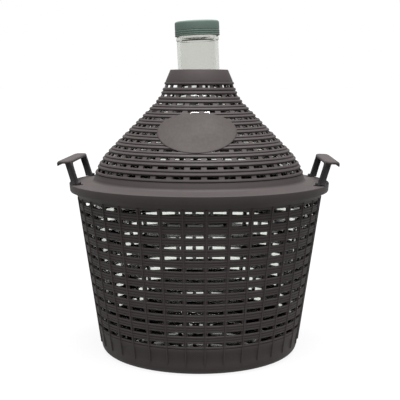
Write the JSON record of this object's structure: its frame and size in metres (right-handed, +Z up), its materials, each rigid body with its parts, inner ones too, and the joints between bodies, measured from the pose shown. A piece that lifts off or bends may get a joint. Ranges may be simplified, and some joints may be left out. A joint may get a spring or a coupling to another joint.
{
  "type": "glass carboy",
  "caption": "Large glass carboy with a screw cap, standing in a slotted plastic basket under a conical slotted cover with two clip-in side handles.",
  "frame": {"origin": "on the table, under the middle of the basket", "axes": "+Z up; -Y to the front, where the oval plate is; +X to the right-hand handle"},
  "size_m": [0.4266, 0.408, 0.5187],
  "materials": {
    "basket_plastic": "satin moulded, dark brown-grey",
    "clear_glass": "clear, faintly green",
    "cap_plastic": "satin moulded, sage green",
    "seal_rubber": "soft, pale"
  },
  "bodies": {
    "basket": {"basket": "basket_plastic"},
    "bottle": {"glass_bottle": "clear_glass"},
    "seal": {"cap_seal": "seal_rubber"},
    "cap": {"screw_cap": "cap_plastic"},
    "cover": {"cover": "basket_plastic"},
    "handle_left": {"handle_left": "basket_plastic"},
    "handle_right": {"handle_right": "basket_plastic"}
  },
  "joints": [
    {"name": "bottle_lift", "type": "slide", "parent": "basket", "child": "bottle", "axis": [0, 0, 1], "range_m": [0, 0.45]},
    {"name": "cover_lift", "type": "slide", "parent": "bottle", "child": "cover", "axis": [0, 0, 1], "range_m": [0, 0.3]},
    {"name": "handle_left_out", "type": "slide", "parent": "cover", "child": "handle_left", "axis": [0, 0, 1], "range_m": [0, 0.04]},
    {"name": "handle_right_out", "type": "slide", "parent": "cover", "child": "handle_right", "axis": [0, 0, 1], "range_m": [0, 0.04]},
    {"name": "cap_rise", "type": "slide", "parent": "bottle", "child": "seal", "axis": [-0.0436, 0, 0.999], "range_m": [0, 0.0181]},
    {"name": "cap_turn", "type": "hinge", "parent": "seal", "child": "cap", "pos_m": [-0.00019, 0, 0.43427], "axis": [-0.0436, 0, 0.999], "range_deg": [0, 1080]}
  ],
  "couplings": [
    {"joint": "cap_rise", "follows": "cap_turn", "m_per_rad": 0.00095493}
  ]
}
